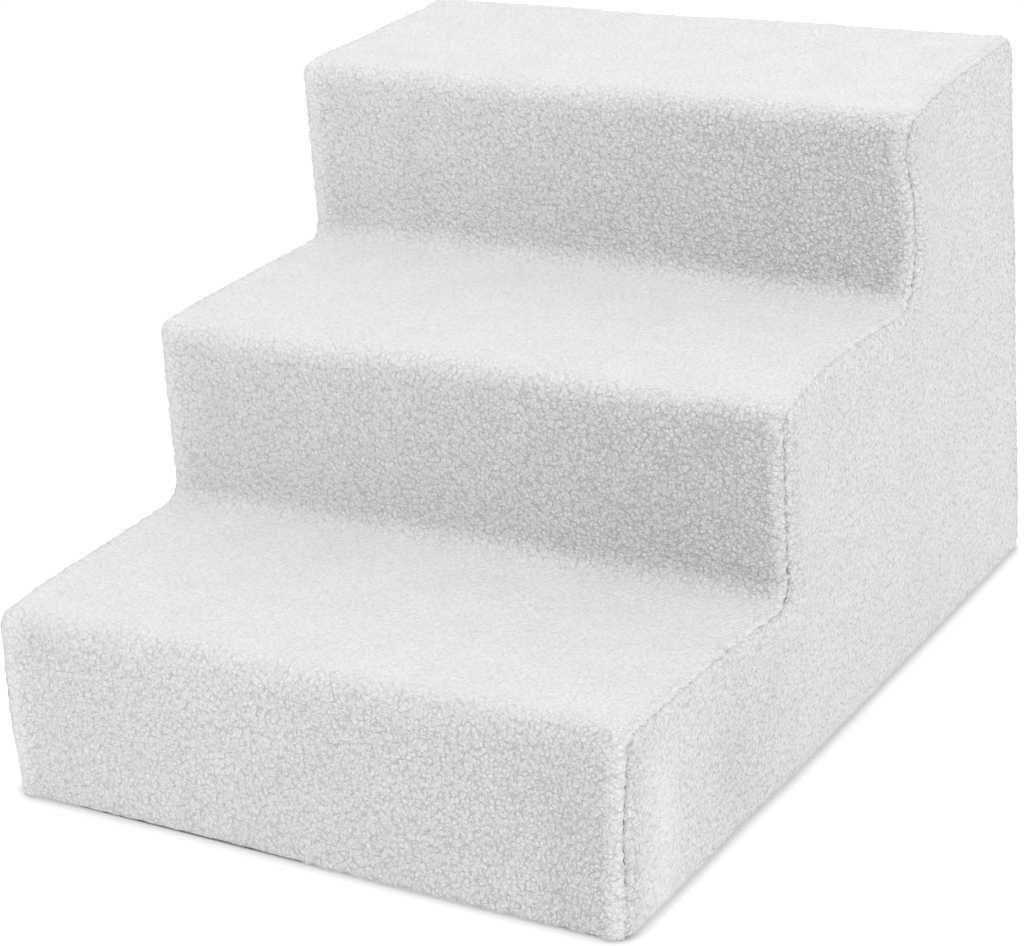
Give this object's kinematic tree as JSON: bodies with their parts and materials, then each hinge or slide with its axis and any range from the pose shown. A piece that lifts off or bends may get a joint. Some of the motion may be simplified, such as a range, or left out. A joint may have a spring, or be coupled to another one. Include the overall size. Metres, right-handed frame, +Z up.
{
  "type": "pet stairs",
  "caption": "Light stepped stairs for a small dog or cat: a snap-together moulded frame under a fitted, removable cover of white sherpa fleece.",
  "frame": {"origin": "on the floor, under the middle of the stairs' width and depth", "axes": "+X to the right across the steps as the pet climbs them, +Y from the lowest step to the back, +Z up; the front riser faces -Y"},
  "size_m": [0.362, 0.4746, 0.304],
  "materials": {
    "fleece": "matte",
    "panel_plastic": "satin",
    "foot_rubber": "matte",
    "hook_tape": "matte",
    "loop_tape": "matte"
  },
  "bodies": {
    "frame": {"side_panel_left": "panel_plastic", "side_panel_right": "panel_plastic", "centre_panel": "panel_plastic", "tread_lower": "panel_plastic", "tread_middle": "panel_plastic", "tread_upper": "panel_plastic", "riser_lower": "panel_plastic", "riser_middle": "panel_plastic", "riser_upper": "panel_plastic", "back_panel": "panel_plastic", "foot_left_front": "foot_rubber", "foot_left_back": "foot_rubber", "foot_centre_front": "foot_rubber", "foot_centre_back": "foot_rubber", "foot_right_front": "foot_rubber", "foot_right_back": "foot_rubber", "hook_tape_front": "hook_tape", "hook_tape_back": "hook_tape", "hook_tape_left": "hook_tape", "hook_tape_right": "hook_tape"},
    "cover": {"loop_tape_front": "loop_tape", "loop_tape_back": "loop_tape", "loop_tape_left": "loop_tape", "loop_tape_right": "loop_tape", "cover_steps": "fleece", "cover_left": "fleece", "cover_right": "fleece", "cover_back": "fleece"}
  },
  "joints": [
    {"name": "cover_lift", "type": "slide", "parent": "frame", "child": "cover", "axis": [0, 0, 1], "range_m": [0, 0.32]}
  ]
}
